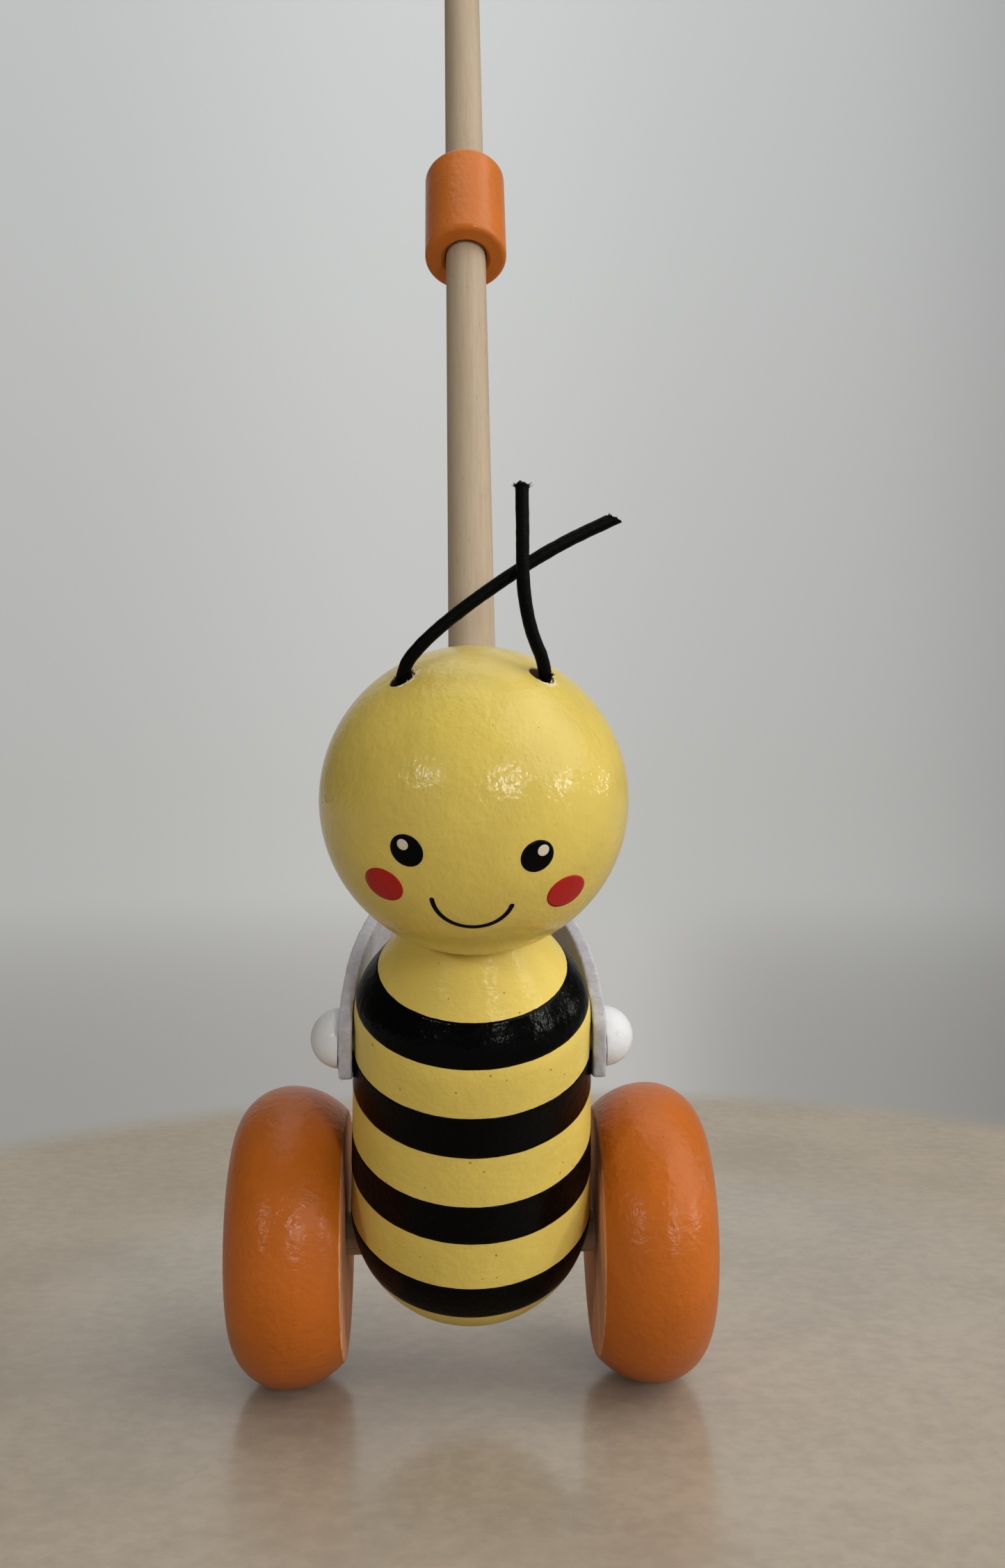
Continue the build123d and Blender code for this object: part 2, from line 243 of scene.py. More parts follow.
# The wheels' bare inner face: beech tinted pink-orange, as painted light bounced off the orange paint
BARE_FACE_PAINTED_BOUNCE = (0.820, 0.400, 0.220)
BARE_FACE_DARK_PAINTED_BOUNCE = (0.420, 0.200, 0.110)
FELT = (0.520, 0.515, 0.570)
FELT_GLOW = (1.0, 0.84, 0.80)
CORD = (0.0006, 0.0006, 0.0006)
FLOOR = (0.412, 0.352, 0.276)
LAMPLIGHT = (1.0, 0.985, 0.96)

# A noise, and small ragged spots. Stretch below 1 draws them out along an axis, height is relief,
# weight is a noise's part in a tone, and missing is the share of the spots that doesn't show.
Grain = namedtuple(
    "Grain",
    "size detail roughness distortion stretch height weight",
    defaults=(2.0, 0.5, 0.0, 1.0, 0.0, 0.5),
)
Specks = namedtuple("Specks", "spacing radius missing strength stretch", defaults=(1.0, 1.0))
SPECK_JITTER = 0.6
SPECK_RAGGEDNESS = 2.4
SPECK_CORE = 0.4

# Paint: the colour, the way that its brush or dip ran, and its other qualities. Cloud is the share
# by which its tone varies, and marks is how strongly small dark marks show.
Paint = namedtuple(
    "Paint",
    "colour flow roughness cloud relief specular coat coat_roughness marks",
    defaults=(0.40, 0.05, 0.7, 0.15, 0.26, 0.10, 0.0),
)
BLACK_PAINT = Paint(BLACK, up_body, 0.30, 0.2, 0.8, specular=0.02, coat=0.14, coat_roughness=0.12)
# The head's yellow is drawn darker as painted shade and the body's lighter as painted light, from one
# shared paint
PAINTS = {
    "head_yellow_painted_shade": Paint(HEAD_YELLOW_PAINTED_SHADE, up_body, relief=1.0, specular=0.10, coat=0.64, coat_roughness=0.085),
    "body_yellow_painted_light": Paint(BODY_YELLOW_PAINTED_LIGHT, RIGHT, relief=0.9, coat=0.18, coat_roughness=0.13, marks=1.0),
    "wheel_orange": Paint(WHEEL_ORANGE, RIGHT, cloud=0.06, relief=1.35, coat=0.28, coat_roughness=0.15),
    "sleeve_orange": Paint(SLEEVE_ORANGE, up_stick),
    "peg_white": Paint(WHITE, up_body, relief=0.8),
    "black": BLACK_PAINT,
    "face_black": BLACK_PAINT._replace(relief=0.4),
    "face_red": Paint(RED, up_body, relief=0.5, coat=0.14),
    "glint_white": Paint(GLINT, up_body, relief=0.4, coat=0.1),
}
PAINT_CLOUD = Grain(14 * MM, detail=3)
PAINT_CLOUD_SPAN = (0.3, 0.7)
PAINT_WAVES = Grain(2.1 * MM, height=0.22 * MM)
PAINT_RIDGES = Grain(0.85 * MM, detail=3, roughness=0.6, stretch=0.4, height=0.105 * MM)
PAINT_FINE = Grain(0.25 * MM, height=0.008 * MM)
PAINT_FINE_SPAN = (0.2, 0.8)
PAINT_ROUGHNESS_SPAN = (-0.04, 0.06)
PAINT_DIRT_SHARES = (0.42, 0.30, 0.20)
PAINT_PITS = Specks(2.9 * MM, 0.20 * MM, missing=0.86, strength=0.70)
PAINT_PIT_DEPTH = 0.06 * MM
PAINT_STAINS = Specks(6.5 * MM, 0.95 * MM, missing=0.72, strength=0.10, stretch=2.2)
PAINT_MARKS = Specks(3.4 * MM, 0.33 * MM, missing=0.42)

# Where bare wood shows through paint
BORE_TEARS = Grain(0.55 * MM, detail=3)
BORE_TEARS_SPAN = (0.30, 0.62)
WHEEL_CREEP = Grain(2.5 * MM, detail=3)
WHEEL_CREEP_REACH = 0.25 * MM
WHEEL_PAINT_BEGINS = (wheel_inner_face + 0.45 * MM, wheel_inner_face + 0.30 * MM)
WHEEL_FACE_GRAIN = Vector((0, 0.3, 0.95)).normalized()

# Beech: year rings, fibres and short flecks, each drawn out along the grain
WOOD_RINGS = Grain(2.2 * MM, stretch=0.03, weight=0.7)
WOOD_FIBRES = Grain(0.35 * MM, detail=3, stretch=0.04, height=0.03 * MM)
WOOD_FLECKS = Specks(0.75 * MM, 0.13 * MM, missing=0.5, strength=0.55, stretch=0.14)
WOOD_FLECK_TONE = 0.6
WOOD_TONE_SPAN = (0.42, 0.85)

# Felt and cord
FELT_CLOUD = Grain(2.2 * MM, detail=4, roughness=0.6)
FELT_MATTED = Grain(0.32 * MM, detail=4, roughness=0.65, distortion=1.2, height=0.16 * MM)
FELT_TANGLE = Grain(0.12 * MM, roughness=0.6, distortion=2.0, height=0.06 * MM)
FELT_TONE_SPAN = (0.32, 0.68)
FELT_TONE_SHARES = (0.82, 1.14)
CORD_FILAMENTS = Grain(0.12 * MM, height=0.03 * MM)
CORD_LIGHTER = 2.2

# Stage: a round table top that fades into a plain backdrop. Spans are distances from TABLE_CENTRE.
FLOOR_HALF = 30.0
TABLE_CENTRE = (0.03, 0, 0)
TABLE_EDGE = (0.255, 0.30)
TABLE_GLOSS_ENDS = (0.11, 0.18)
TABLE_ROUGHNESS = (0.17, 0.60)
TABLE_CLOUD = Grain(45 * MM, detail=4, weight=0.45)
TABLE_MOTTLE = Grain(5 * MM, detail=4, roughness=0.65, weight=0.55)
TABLE_TONE_SPAN = (0.36, 0.64)
TABLE_TONE_SHARES = (0.89, 1.08)
PALE_SPECKS = Specks(7 * MM, 0.42 * MM, missing=0.80, strength=0.30)
DEEP_SPECKS = Specks(9 * MM, 0.50 * MM, missing=0.80, strength=0.35)
DEEP_SPECK_SHIFT = (0.3, 0.3, 0)

# The backdrop's greys: where the table ends, far along the floor and at eye level, and high up
WALL_FOOT = (0.315, 0.310, 0.295)
WALL_LEVEL = (0.440, 0.438, 0.425)
WALL_HIGH = (0.515, 0.527, 0.522)
WALL_FOOT_ENDS = (0.20, 1.7)
WALL_HIGH_RISE = 0.45

# The backdrop's brighter and darker parts fan out from where the photograph was taken: bearing in
# radians, width and strength. On the floor they begin some way off.
LIGHT_FANS_FROM = axle_centre + CAMERA_FROM_AXLE
Bell = namedtuple("Bell", "centre width height")
WALL_POOL = Bell(-0.01, 0.17, 0.20)
WALL_SHADE = Bell(0.42, 0.105, 0.28)
WALL_FOOT_POOL = Bell(0.11, 0.065, 0.42)
FLOOR_LIGHT_BEGINS = (0.42, 0.66)

# What gloss and dull surfaces see of the room beside the backdrop, darker from the left
ROOM = (0.100, 0.096, 0.086)
ROOM_BEGINS = (0.0, 0.34)
ROOM_SLOPE = 0.36
AMBIENT = (0.262, 0.259, 0.252)
AMBIENT_LEFT = (0.188, 0.174, 0.152)
AMBIENT_SPAN = (-0.9, 0.3)

# Soft lights: the way to each from the head, and its distance, width, height and power
Lamp = namedtuple("Lamp", "way distance width height power")
LAMPS = {
    "key_softbox": Lamp((0.70, -0.26, 0.67), 1.9, 1.9, 1.9, 25.5),
    "top_softbox": Lamp((0.05, 0.20, 1.0), 1.8, 1.4, 1.4, 6.5),
    "window_front_right": Lamp((0.395, -0.893, 0.235), 1.6, 0.13, 0.40, 6.2),
    "window_front_left": Lamp((-0.548, -0.786, 0.300), 1.6, 0.11, 0.16, 3.0),
    "window_right": Lamp((0.900, -0.36, 0.16), 1.6, 0.12, 0.17, 3.3),
    "window_far_right": Lamp((0.900, 0.30, 0.14), 1.6, 0.09, 0.14, 0.9),
}


# Meshes


def link(made):
    bpy.context.scene.collection.objects.link(made)
    return made


def mesh_object(name, points, faces, smooth=True):
    """An object whose faces all look outwards."""
    mesh = bpy.data.meshes.new(name)
    mesh.from_pydata([tuple(p) for p in points], [], faces)
    tidy = bmesh.new()
    tidy.from_mesh(mesh)
    bmesh.ops.recalc_face_normals(tidy, faces=tidy.faces)
    tidy.to_mesh(mesh)
    tidy.free()
    for face in mesh.polygons:
        face.use_smooth = smooth
    return link(bpy.data.objects.new(name, mesh))


def applied(made):
    """Replaces an object's mesh by the one its modifiers give."""
    bpy.context.view_layer.update()
    evaluated = made.evaluated_get(bpy.context.evaluated_depsgraph_get())
    mesh = bpy.data.meshes.new_from_object(evaluated)
    made.modifiers.clear()
    made.data = mesh
    return made


def paint(made, material):
    made.data.materials.clear()
    made.data.materials.append(material)


def dressed(made, material):
    """A painted piece that rides on the bee and takes its finish from a slot."""
    paint(made, material)
    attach(made, "bee")
    return made


def turned(angle, first, second):
    """A way that is turned by an angle from the first way towards the second."""
    return first * cos(angle) + second * sin(angle)


def angles_round(count):
    return [2 * pi * i / count for i in range(count)]


def faces_between(lower, upper, sides):
    """The faces that join two closed rings of points, given each ring's first point."""
    faces = []
    for i in range(sides):
        k = (i + 1) % sides
        faces.append((lower + i, lower + k, upper + k, upper + i))
    return faces


def tube_faces(first, rings, sides):
    """The faces of a tube of rings that is closed at its near end."""
    faces = []
    for start in range(first, first + (rings - 1) * sides, sides):
        faces += faces_between(start, start + sides, sides)
    faces.append(tuple(first + i for i in reversed(range(sides))))
    return faces


def rod_faces(first, rings, sides):
    """The faces of a tube of rings that is closed at both ends."""
    last = first + (rings - 1) * sides
    return tube_faces(first, rings, sides) + [tuple(range(last, last + sides))]


def frames_along(line):
    """The tangent and two square directions at each point, carried along without twist."""
    frames = []
    normal = (line[1] - line[0]).orthogonal().normalized()
    for i in range(len(line)):
        tangent = (line[min(i + 1, len(line) - 1)] - line[max(i - 1, 0)]).normalized()
        normal = (normal - tangent * normal.dot(tangent)).normalized()
        frames.append((tangent, normal, tangent.cross(normal)))
    return frames


def bent_line(start, reach, bend, steps):
    """Points from a start along a reach, bent aside more and more."""
    shares = [step / steps for step in range(steps + 1)]
    return [start + reach * share + bend * share**2 for share in shares]


def add_fibre(points, faces, line, thickness, flatness=1.0, sides=5):
    """A closed tapered rod along a short line."""
    faces += rod_faces(len(points), len(line), sides)
    for step, (place, (_, across, up)) in enumerate(zip(line, frames_along(line))):
        radius = thickness * (1 - FIBRE_TAPER * step / (len(line) - 1))
        for angle in angles_round(sides):
            points.append(place + turned(angle, across, up * flatness) * radius)


# Material helpers


def connect(tree, node, inputs):
    """Gives a node's inputs their values, or links them to other nodes' sockets."""
    for key, value in inputs.items():
        if isinstance(value, bpy.types.NodeSocket):
            tree.links.new(value, node.inputs[key])
        else:
            node.inputs[key].default_value = value


def add(tree, kind, inputs=None, **settings):
    """A new shader node of a kind, with its settings and inputs."""
    made = tree.nodes.new("ShaderNode" + kind)
    for key, value in settings.items():
        setattr(made, key, value)
    connect(tree, made, inputs or {})
    return made


def maths(tree, operation, first, second=0.0, third=0.0):
    inputs = {0: first, 1: second, 2: third}
    return add(tree, "Math", inputs, operation=operation).outputs[0]


def product(tree, value, *factors):
    for factor in factors:
        value = maths(tree, "MULTIPLY", value, factor)
    return value


def minus(tree, first, second):
    return maths(tree, "SUBTRACT", first, second)


def vector_maths(tree, operation, inputs, output="Vector"):
    return add(tree, "VectorMath", inputs, operation=operation).outputs[output]


def shifted(tree, coords, shift):
    return vector_maths(tree, "ADD", {0: coords, 1: shift})


def step_from(tree, coords, place):
    return vector_maths(tree, "SUBTRACT", {0: coords, 1: place})


def scaled(tree, vector, share):
    return vector_maths(tree, "SCALE", {0: vector, "Scale": share})


def length_of(tree, vector):
    return vector_maths(tree, "LENGTH", {0: vector}, "Value")


def along(tree, vector, axis):
    """How far a vector reaches along an axis."""
    return vector_maths(tree, "DOT_PRODUCT", {0: vector, 1: axis}, "Value")


def ramp(tree, value, span, target=(0.0, 1.0)):
    """A smooth step of value over a span, as a number from the target's start to its end."""
    keys = "Value", "From Min", "From Max", "To Min", "To Max"
    inputs = dict(zip(keys, (value, *span, *target)))
    return add(tree, "MapRange", inputs, interpolation_type="SMOOTHSTEP").outputs["Result"]


def mixed(tree, share, first, second):
    """A colour between two colours, which are values or sockets."""
    inputs = {0: share}
    for slot, colour in ((6, first), (7, second)):
        inputs[slot] = colour if isinstance(colour, bpy.types.NodeSocket) else (*colour, 1)
    return add(tree, "Mix", inputs, data_type="RGBA").outputs[2]


def toned(colour, share):
    """A colour made darker or lighter."""
    return tuple(min(1, channel * share) for channel in colour)


def clouded(tree, tone, span, colour, shares):
    """The colour, from darker to lighter as a noise goes through its span."""
    dark, light = (toned(colour, share) for share in shares)
    return mixed(tree, ramp(tree, tone, span), dark, light)


def stretched(tree, coords, kind, axis):
    """Coordinates that run more slowly along an axis, so that a texture is drawn out along it."""
    if axis is None:
        return coords
    less = product(tree, along(tree, coords, axis), kind.stretch - 1)
    return shifted(tree, coords, scaled(tree, axis, less))


def grain(tree, coords, kind, axis=None):
    """A cloudy noise from 0 to 1."""
    inputs = {
        "Vector": stretched(tree, coords, kind, axis),
        "Scale": 1 / kind.size,
        "Detail": kind.detail,
        "Roughness": kind.roughness,
        "Distortion": kind.distortion,
    }
    return add(tree, "TexNoise", inputs).outputs["Fac"]


def grains_added(tree, *grains):
    """The sum of two noises, each times its weight."""
    return maths(tree, "ADD", *[product(tree, value, kind.weight) for value, kind in grains])


def specks(tree, coords, kind, axis=None):
    """1 in small ragged spots, of which only a share shows."""
    coords = stretched(tree, coords, kind, axis)
    inputs = {"Vector": coords, "Scale": SPECK_JITTER / kind.radius}
    jitter = add(tree, "TexNoise", inputs).outputs["Color"]
    shift = scaled(tree, step_from(tree, jitter, (0.5, 0.5, 0.5)), SPECK_RAGGEDNESS * kind.radius)
    inputs = {"Vector": shifted(tree, coords, shift), "Scale": 1 / kind.spacing}
    cells = add(tree, "TexVoronoi", inputs).outputs
    edge = kind.radius / kind.spacing
    near = ramp(tree, cells["Distance"], (edge, edge * SPECK_CORE))
    chance = add(tree, "SeparateColor", {0: cells["Color"]}).outputs[0]
    return product(tree, near, maths(tree, "GREATER_THAN", chance, kind.missing))


def bump(tree, height, depth, normal=None):
    """The normal of a surface whose height is 0 to 1 times a depth, over another normal."""
    inputs = {"Height": height, "Distance": depth}
    if normal is not None:
        inputs["Normal"] = normal
    return add(tree, "Bump", inputs).outputs["Normal"]


def new_material(name, colour):
    material = bpy.data.materials.new(name)
    material.use_nodes = True
    tree = material.node_tree
    shader = tree.nodes["Principled BSDF"]
    shader.inputs["Base Color"].default_value = (*colour, 1)
    material.diffuse_color = (*colour, 1)
    return material, tree, shader, add(tree, "TexCoord").outputs["Object"]


# Wood


def wood_colour(tree, coords, axis, light, dark):
    """Beech: long faint year rings, fine fibres and short dark flecks along the grain."""
    rings = grain(tree, coords, WOOD_RINGS, axis)
    fibres = grain(tree, coords, WOOD_FIBRES, axis)
    tone = grains_added(tree, (rings, WOOD_RINGS), (fibres, WOOD_FIBRES))
    colour = mixed(tree, ramp(tree, tone, WOOD_TONE_SPAN), light, dark)
    flecks = product(tree, specks(tree, coords, WOOD_FLECKS, axis), WOOD_FLECKS.strength)
    return mixed(tree, flecks, colour, toned(dark, WOOD_FLECK_TONE)), fibres


def bare_wood(name, axis, light=BEECH, dark=BEECH_DARK):
    """Unpainted wood with its grain along an axis."""
    material, tree, shader, coords = new_material(name, light)
    colour, fibres = wood_colour(tree, coords, axis, light, dark)
    inputs = {
        "Base Color": colour,
        "Normal": bump(tree, fibres, WOOD_FIBRES.height),
        "Roughness": 0.62,
        "Specular IOR Level": 0.3,
    }
    connect(tree, shader, inputs)
    return material


# Paint

Painted = namedtuple("Painted", "material tree shader coords tone rough")


def paint_relief(tree, coords, flow, depth):
    """The skin of brushed or dipped paint over wood: shallow waves and fine raised grain."""
    waves = grain(tree, coords, PAINT_WAVES)
    ridges = grain(tree, coords, PAINT_RIDGES, flow)
    fine = grain(tree, coords, PAINT_FINE)
    normal = bump(tree, waves, PAINT_WAVES.height * depth)
    normal = bump(tree, ridges, PAINT_RIDGES.height * depth, normal)
    return bump(tree, fine, PAINT_FINE.height * depth, normal), fine


def satin_paint(name):
    """A satin paint under a thin gloss, with what a finish that is laid over it needs."""
    kind = PAINTS[name]
    material, tree, shader, coords = new_material(f"{name}_paint", kind.colour)
    dirt = tuple(c * share for c, share in zip(kind.colour, PAINT_DIRT_SHARES))
    cloud = grain(tree, coords, PAINT_CLOUD)
    tone = clouded(tree, cloud, PAINT_CLOUD_SPAN, kind.colour, (1 - kind.cloud, 1 + kind.cloud))
    pits = specks(tree, coords, PAINT_PITS)
    stains = specks(tree, coords, PAINT_STAINS, kind.flow)
    marks = specks(tree, coords, PAINT_MARKS)
    strengths = PAINT_STAINS.strength, PAINT_PITS.strength, kind.marks
    for spots, strength in zip((stains, pits, marks), strengths):
        tone = mixed(tree, product(tree, spots, strength), tone, dirt)
    normal, fine = paint_relief(tree, coords, kind.flow, kind.relief)
    normal = bump(tree, minus(tree, 1.0, pits), PAINT_PIT_DEPTH, normal)
    roughness = tuple(kind.roughness + change for change in PAINT_ROUGHNESS_SPAN)
    rough = ramp(tree, fine, PAINT_FINE_SPAN, roughness)
    inputs = {
        "Base Color": tone,
        "Roughness": rough,
        "Specular IOR Level": kind.specular,
        "Normal": normal,
        "Coat Weight": kind.coat,
        "Coat Roughness": kind.coat_roughness,
        "Coat IOR": 1.45,
        "Coat Normal": normal,
    }
    connect(tree, shader, inputs)
    return Painted(material, tree, shader, coords, tone, rough)


def lay_over(painted, share, colour, roughness):
    """Lays another finish over a painted one where share is 1."""
    tree, shader = painted.tree, painted.shader
    coat = shader.inputs["Coat Weight"].default_value
    change = minus(tree, roughness, painted.rough)
    inputs = {
        "Base Color": mixed(tree, share, painted.tone, colour),
        "Coat Weight": product(tree, minus(tree, 1.0, share), coat),
        "Roughness": maths(tree, "MULTIPLY_ADD", share, change, painted.rough),
    }
    connect(tree, shader, inputs)


def bare_bore(tree, coords, mouth):
    """1 inside an antenna's bore, and where paint has chipped off along its mouth's lower right."""
    step = step_from(tree, coords, mouth)
    from_mouth = length_of(tree, step)
    squares = [maths(tree, "POWER", value, 2.0) for value in (from_mouth, along(tree, step, up_body))]
    off_axis = maths(tree, "SQRT", maths(tree, "MAXIMUM", minus(tree, *squares), 0.0))
    lower = ramp(tree, along(tree, step, CHIP_SIDE), CHIP_BEGINS)
    ragged = ramp(tree, grain(tree, coords, BORE_TEARS), BORE_TEARS_SPAN)
    chip = product(tree, lower, ragged, CHIP_REACH)
    edge = maths(tree, "ADD", chip, BORE_RADIUS + BORE_ROUNDED)
    inside = maths(tree, "LESS_THAN", off_axis, edge)
    near = maths(tree, "LESS_THAN", from_mouth, 2 * BORE_DEPTH)
    return product(tree, inside, near)


def head_paint():
    """Yellow paint, with bare wood inside the antenna bores, drawn dark deeper in as painted shade, and
    chips along their lower rims.
    """
    # The head's yellow is drawn darker than the body's, as painted shade
    painted = satin_paint("head_yellow_painted_shade")
    tree, coords = painted.tree, painted.coords
    bores = [bare_bore(tree, coords, mouth) for mouth in antenna_mouths.values()]
    share = maths(tree, "MAXIMUM", *bores)
    # Inside the bore the wood is drawn dark as painted shade, and near the surface it turns to pale torn
    # wood
    inside = wood_colour(tree, coords, up_body, BORE_WOOD_PAINTED_SHADE, BORE_DARK_PAINTED_SHADE)[0]
    from_centre = length_of(tree, step_from(tree, coords, head_centre))
    rim = ramp(tree, from_centre, CHIP_RIM_TO_PAINTED_SHADE)
    lay_over(painted, share, mixed(tree, rim, inside, CHIP_WOOD), roughness=0.8)
    return painted.material


def wheel_paint():
    """Orange paint outside, and bare wood on the inner face, tinted pink-orange as painted bounce light,
    where paint has crept over the edge.
    """
    painted = satin_paint("wheel_orange")
    tree, coords = painted.tree, painted.coords
    across = maths(tree, "ABSOLUTE", along(tree, coords, RIGHT))
    creep = product(tree, grain(tree, coords, WHEEL_CREEP), WHEEL_CREEP_REACH)
    bare = ramp(tree, maths(tree, "ADD", across, creep), WHEEL_PAINT_BEGINS)
    # Bare wood tinted pink-orange, as painted bounce light from the orange paint
    wood = wood_colour(tree, coords, WHEEL_FACE_GRAIN, BARE_FACE_PAINTED_BOUNCE, BARE_FACE_DARK_PAINTED_BOUNCE)[0]
    lay_over(painted, bare, wood, roughness=0.75)
    return painted.material


# Felt and cord


def felt_material():
    """Pressed felt: matted fibres that run every way, with a soft sheen."""
    material, tree, shader, coords = new_material("felt", FELT)
    lumps = grain(tree, coords, FELT_CLOUD)
    matted = grain(tree, coords, FELT_MATTED)
    tangle = grain(tree, coords, FELT_TANGLE)
    tone = grains_added(tree, (lumps, FELT_CLOUD), (matted, FELT_MATTED))
    normal = bump(tree, matted, FELT_MATTED.height)
    inputs = {
        "Base Color": clouded(tree, tone, FELT_TONE_SPAN, FELT, FELT_TONE_SHARES),
        "Normal": bump(tree, tangle, FELT_TANGLE.height, normal),
        "Roughness": 0.95,
        "Specular IOR Level": 0.2,
        "Subsurface Weight": 0.4,
        "Subsurface Radius": FELT_GLOW,
        "Subsurface Scale": 3.0 * MM,
        "Sheen Weight": 0.25,
        "Sheen Roughness": 0.5,
    }
    connect(tree, shader, inputs)
    return material


def cord_material():
    """Black braided yarn with fine filaments."""
    material, tree, shader, coords = new_material("braided_cord", CORD)
    filaments = grain(tree, coords, CORD_FILAMENTS)
    inputs = {
        "Base Color": mixed(tree, filaments, CORD, toned(CORD, CORD_LIGHTER)),
        "Normal": bump(tree, filaments, CORD_FILAMENTS.height),
        "Roughness": 0.42,
        "Specular IOR Level": 0.06,
    }
    connect(tree, shader, inputs)
    return material


# Camera


def make_camera():
    data = bpy.data.cameras.new("camera")
    data.sensor_fit = "VERTICAL"
    data.sensor_height = SENSOR_HEIGHT
    data.lens = SENSOR_HEIGHT * PHOTO_FOCAL_LENGTH / PHOTO_HEIGHT
    data.clip_start = 10 * MM
    camera = link(bpy.data.objects.new("camera", data))
    camera.location = axle_centre + CAMERA_FROM_AXLE
    level = Euler((pi / 2, 0, 0)).to_matrix()
    camera.rotation_euler = (Euler((0, CAMERA_ROLL, -CAMERA_TURN)).to_matrix() @ level).to_euler()
    bpy.context.scene.camera = camera


# Antennae


def antenna_mouth(side):
    """The middle of a bore's mouth, on the head's surface."""
    across = side * BORE_SIDE + BORE_OFFSET
    rise = sqrt(head_radius**2 - across**2 - BORE_FORWARD**2)
    return head_centre + RIGHT * across + front_body * BORE_FORWARD + up_body * rise


antenna_mouths = {name: antenna_mouth(side) for name, side in SIDES.items()}


def spline_points(points):
    """The line of an open NURBS spline with these control points."""
    curve = bpy.data.curves.new("route", "CURVE")
    curve.dimensions = "3D"
    curve.resolution_u = 32
    spline = curve.splines.new("NURBS")
    spline.points.add(len(points) - 1)
    for point, place in zip(spline.points, points):
        point.co = (*place, 1)
    spline.order_u = 3
    spline.use_endpoint_u = True
    route = bpy.data.objects.new("route", curve)
    mesh = bpy.data.meshes.new_from_object(route)
    line = [vertex.co.copy() for vertex in mesh.vertices]
    bpy.data.objects.remove(route)
    bpy.data.meshes.remove(mesh)
    return line


def evenly(line, step):
    """Points along a line at even steps, and the line's length."""
    length = sum((b - a).length for a, b in zip(line, line[1:]))
    count = max(2, round(length / step))
    rounding = 1e-12
    made = []
    travelled = 0.0
    for a, b in zip(line, line[1:]):
        run = (b - a).length
        while len(made) <= count and length * len(made) / count <= travelled + run + rounding:
            share = (length * len(made) / count - travelled) / run if run else 0
            made.append(a.lerp(b, min(1, share)))
        travelled += run
    if len(made) <= count:
        made.append(line[-1].copy())
    return made, length


def braid_relief(travel, angle):
    """The height of a plain braid, from 0 in its gaps to 1 on top of a strand."""
    turns = angle / (2 * pi) * BRAID_STRANDS
    climb = travel / BRAID_PITCH * BRAID_STRANDS
    first = turns + climb
    second = turns - climb
    over_first = (floor(first) + floor(second)) % 2 == 0
    across, lengthwise = (first, second) if over_first else (second, first)
    crown = abs(sin(pi * across)) ** STRAND_ROUNDING
    dip = abs(sin(pi * lengthwise)) ** STRAND_DIP_ROUNDING
    return crown * (1 - STRAND_DIP + STRAND_DIP * dip)


def braided_points(name, line, length, frames):
    """The rings of a braided cord, whose far end is cut on a slant and crumpled."""
    points = []
    for i, (centre, (tangent, normal, binormal)) in enumerate(zip(line, frames)):
        travel = i * length / (len(line) - 1)
        cut = max(0.0, 1 - (length - travel) / CUT_REACH) ** CUT_BEND
        for angle in angles_round(RING_SIDES):
            out = turned(angle, normal, binormal)
            radius = BRAID_CORE + BRAID_RELIEF * braid_relief(travel, angle)
            lumps = noise.noise(centre * YARN_LUMPS + out * YARN_LUMPS_ROUND)
            radius *= 1 + YARN_UNEVENNESS * lumps
            slant = out.dot(CUT_SLANT_AXIS[name]) * CUT_SLANT[name]
            crumple = noise.noise(out * CRUMPLE_LUMPS_ROUND + centre * CRUMPLE_LUMPS)
            ahead = cut * (CUT_CRUMPLE * crumple - radius * (slant + CUT_DRAWN_IN))
            points.append(centre + out * radius + tangent * ahead)
    return points


def cap_end(points, faces, tangent):
    """Closes a cord's last ring by a tufted cap, and returns the ring's middle."""
    previous = len(points) - RING_SIDES
    rim = [Vector(point) for point in points[previous:]]
    centre = sum(rim, Vector()) / RING_SIDES
    for share in CAP_SHARES:
        faces += faces_between(previous, len(points), RING_SIDES)
        previous = len(points)
        for point in rim:
            place = centre.lerp(point, share)
            rise = (1 - share**2) * CAP_BULGE + CAP_TUFT * noise.noise(place * CAP_LUMPS)
            points.append(place + tangent * rise)
    faces.append(tuple(range(previous, len(points))))
    return centre


def make_fray(name, fray, centre, end_frame, material):
    """Loose yarn ends round a cord's end, each a thin curved and tapered fibre."""
    chance = random.Random(name)
    tangent, normal, binormal = end_frame
    points = []
    faces = []
    count = 0
    while count < fray.fibres:
        out = turned(chance.uniform(0, 2 * pi), normal, binormal)
        if fray.one_sided and out.dot(fray.favoured) < chance.uniform(*FRAY_SORTING):
            continue
        count += 1
        start = centre + out * chance.uniform(*FRAY_START_OUT)
        start -= tangent * chance.uniform(*FRAY_START_BACK)
        reach = fray.longest * chance.uniform(*FRAY_REACH)
        reach *= FRAY_REACH_ANYWHERE + FRAY_REACH_FAVOURED * abs(out.dot(fray.favoured))
        lean = tangent * chance.uniform(*FRAY_LEAN_ALONG) + out * chance.uniform(*FRAY_LEAN_OUT)
        curl = out * chance.uniform(*FRAY_CURL_OUT) + binormal * chance.uniform(*FRAY_CURL_ASIDE)
        thickness = chance.uniform(*FRAY_THICKNESS)
        if chance.random() < STUBS:
            thickness = chance.uniform(*STUB_THICKNESS)
        line = bent_line(start, lean.normalized() * reach, curl * FRAY_CURL * reach, 5)
        add_fibre(points, faces, line, thickness)
    return dressed(mesh_object(name, points, faces), material)


